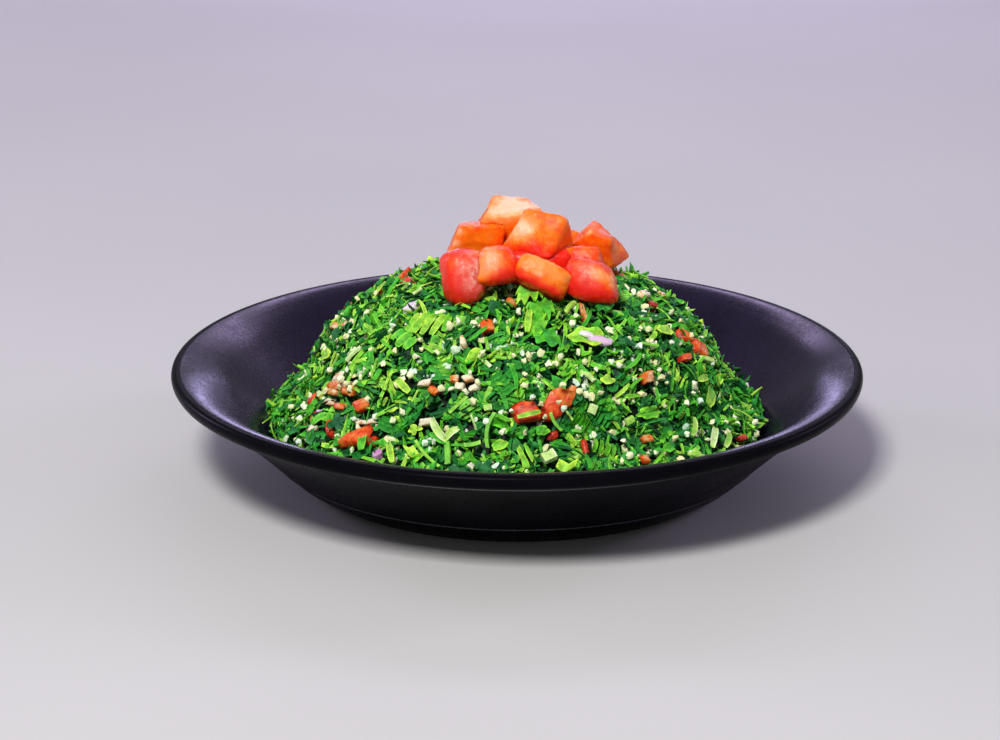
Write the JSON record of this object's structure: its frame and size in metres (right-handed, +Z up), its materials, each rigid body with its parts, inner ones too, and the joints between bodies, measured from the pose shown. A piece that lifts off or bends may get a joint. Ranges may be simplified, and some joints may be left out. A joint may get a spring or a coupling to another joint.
{
  "type": "tabbouleh salad",
  "caption": "Heap of chopped parsley salad with bulgur and tomato in a wide black bowl, topped with diced tomato.",
  "frame": {"origin": "centre of the bowl's foot, on the surface it stands on", "axes": "+Z up, -Y towards the front of the heap, +X to the right seen from the front"},
  "size_m": [0.2198, 0.2198, 0.0873],
  "materials": {
    "bowl": "black satin glaze with a faint violet sheen",
    "salad": "moist chopped parsley leaf with pale bulgur grains",
    "tomato": "wet cut tomato flesh with skin"
  },
  "bodies": {
    "root": {"bowl": "bowl", "salad": "salad", "tomato_dice_front_left": "tomato", "tomato_dice_front_slab": "tomato", "tomato_dice_front_right": "tomato", "tomato_dice_front_mid": "tomato", "tomato_dice_top_front": "tomato", "tomato_dice_left": "tomato", "tomato_dice_top": "tomato", "tomato_dice_right": "tomato", "tomato_dice_far_right": "tomato", "tomato_dice_middle": "tomato", "tomato_dice_back_left": "tomato", "tomato_dice_back": "tomato", "tomato_dice_back_right": "tomato"}
  },
  "joints": []
}
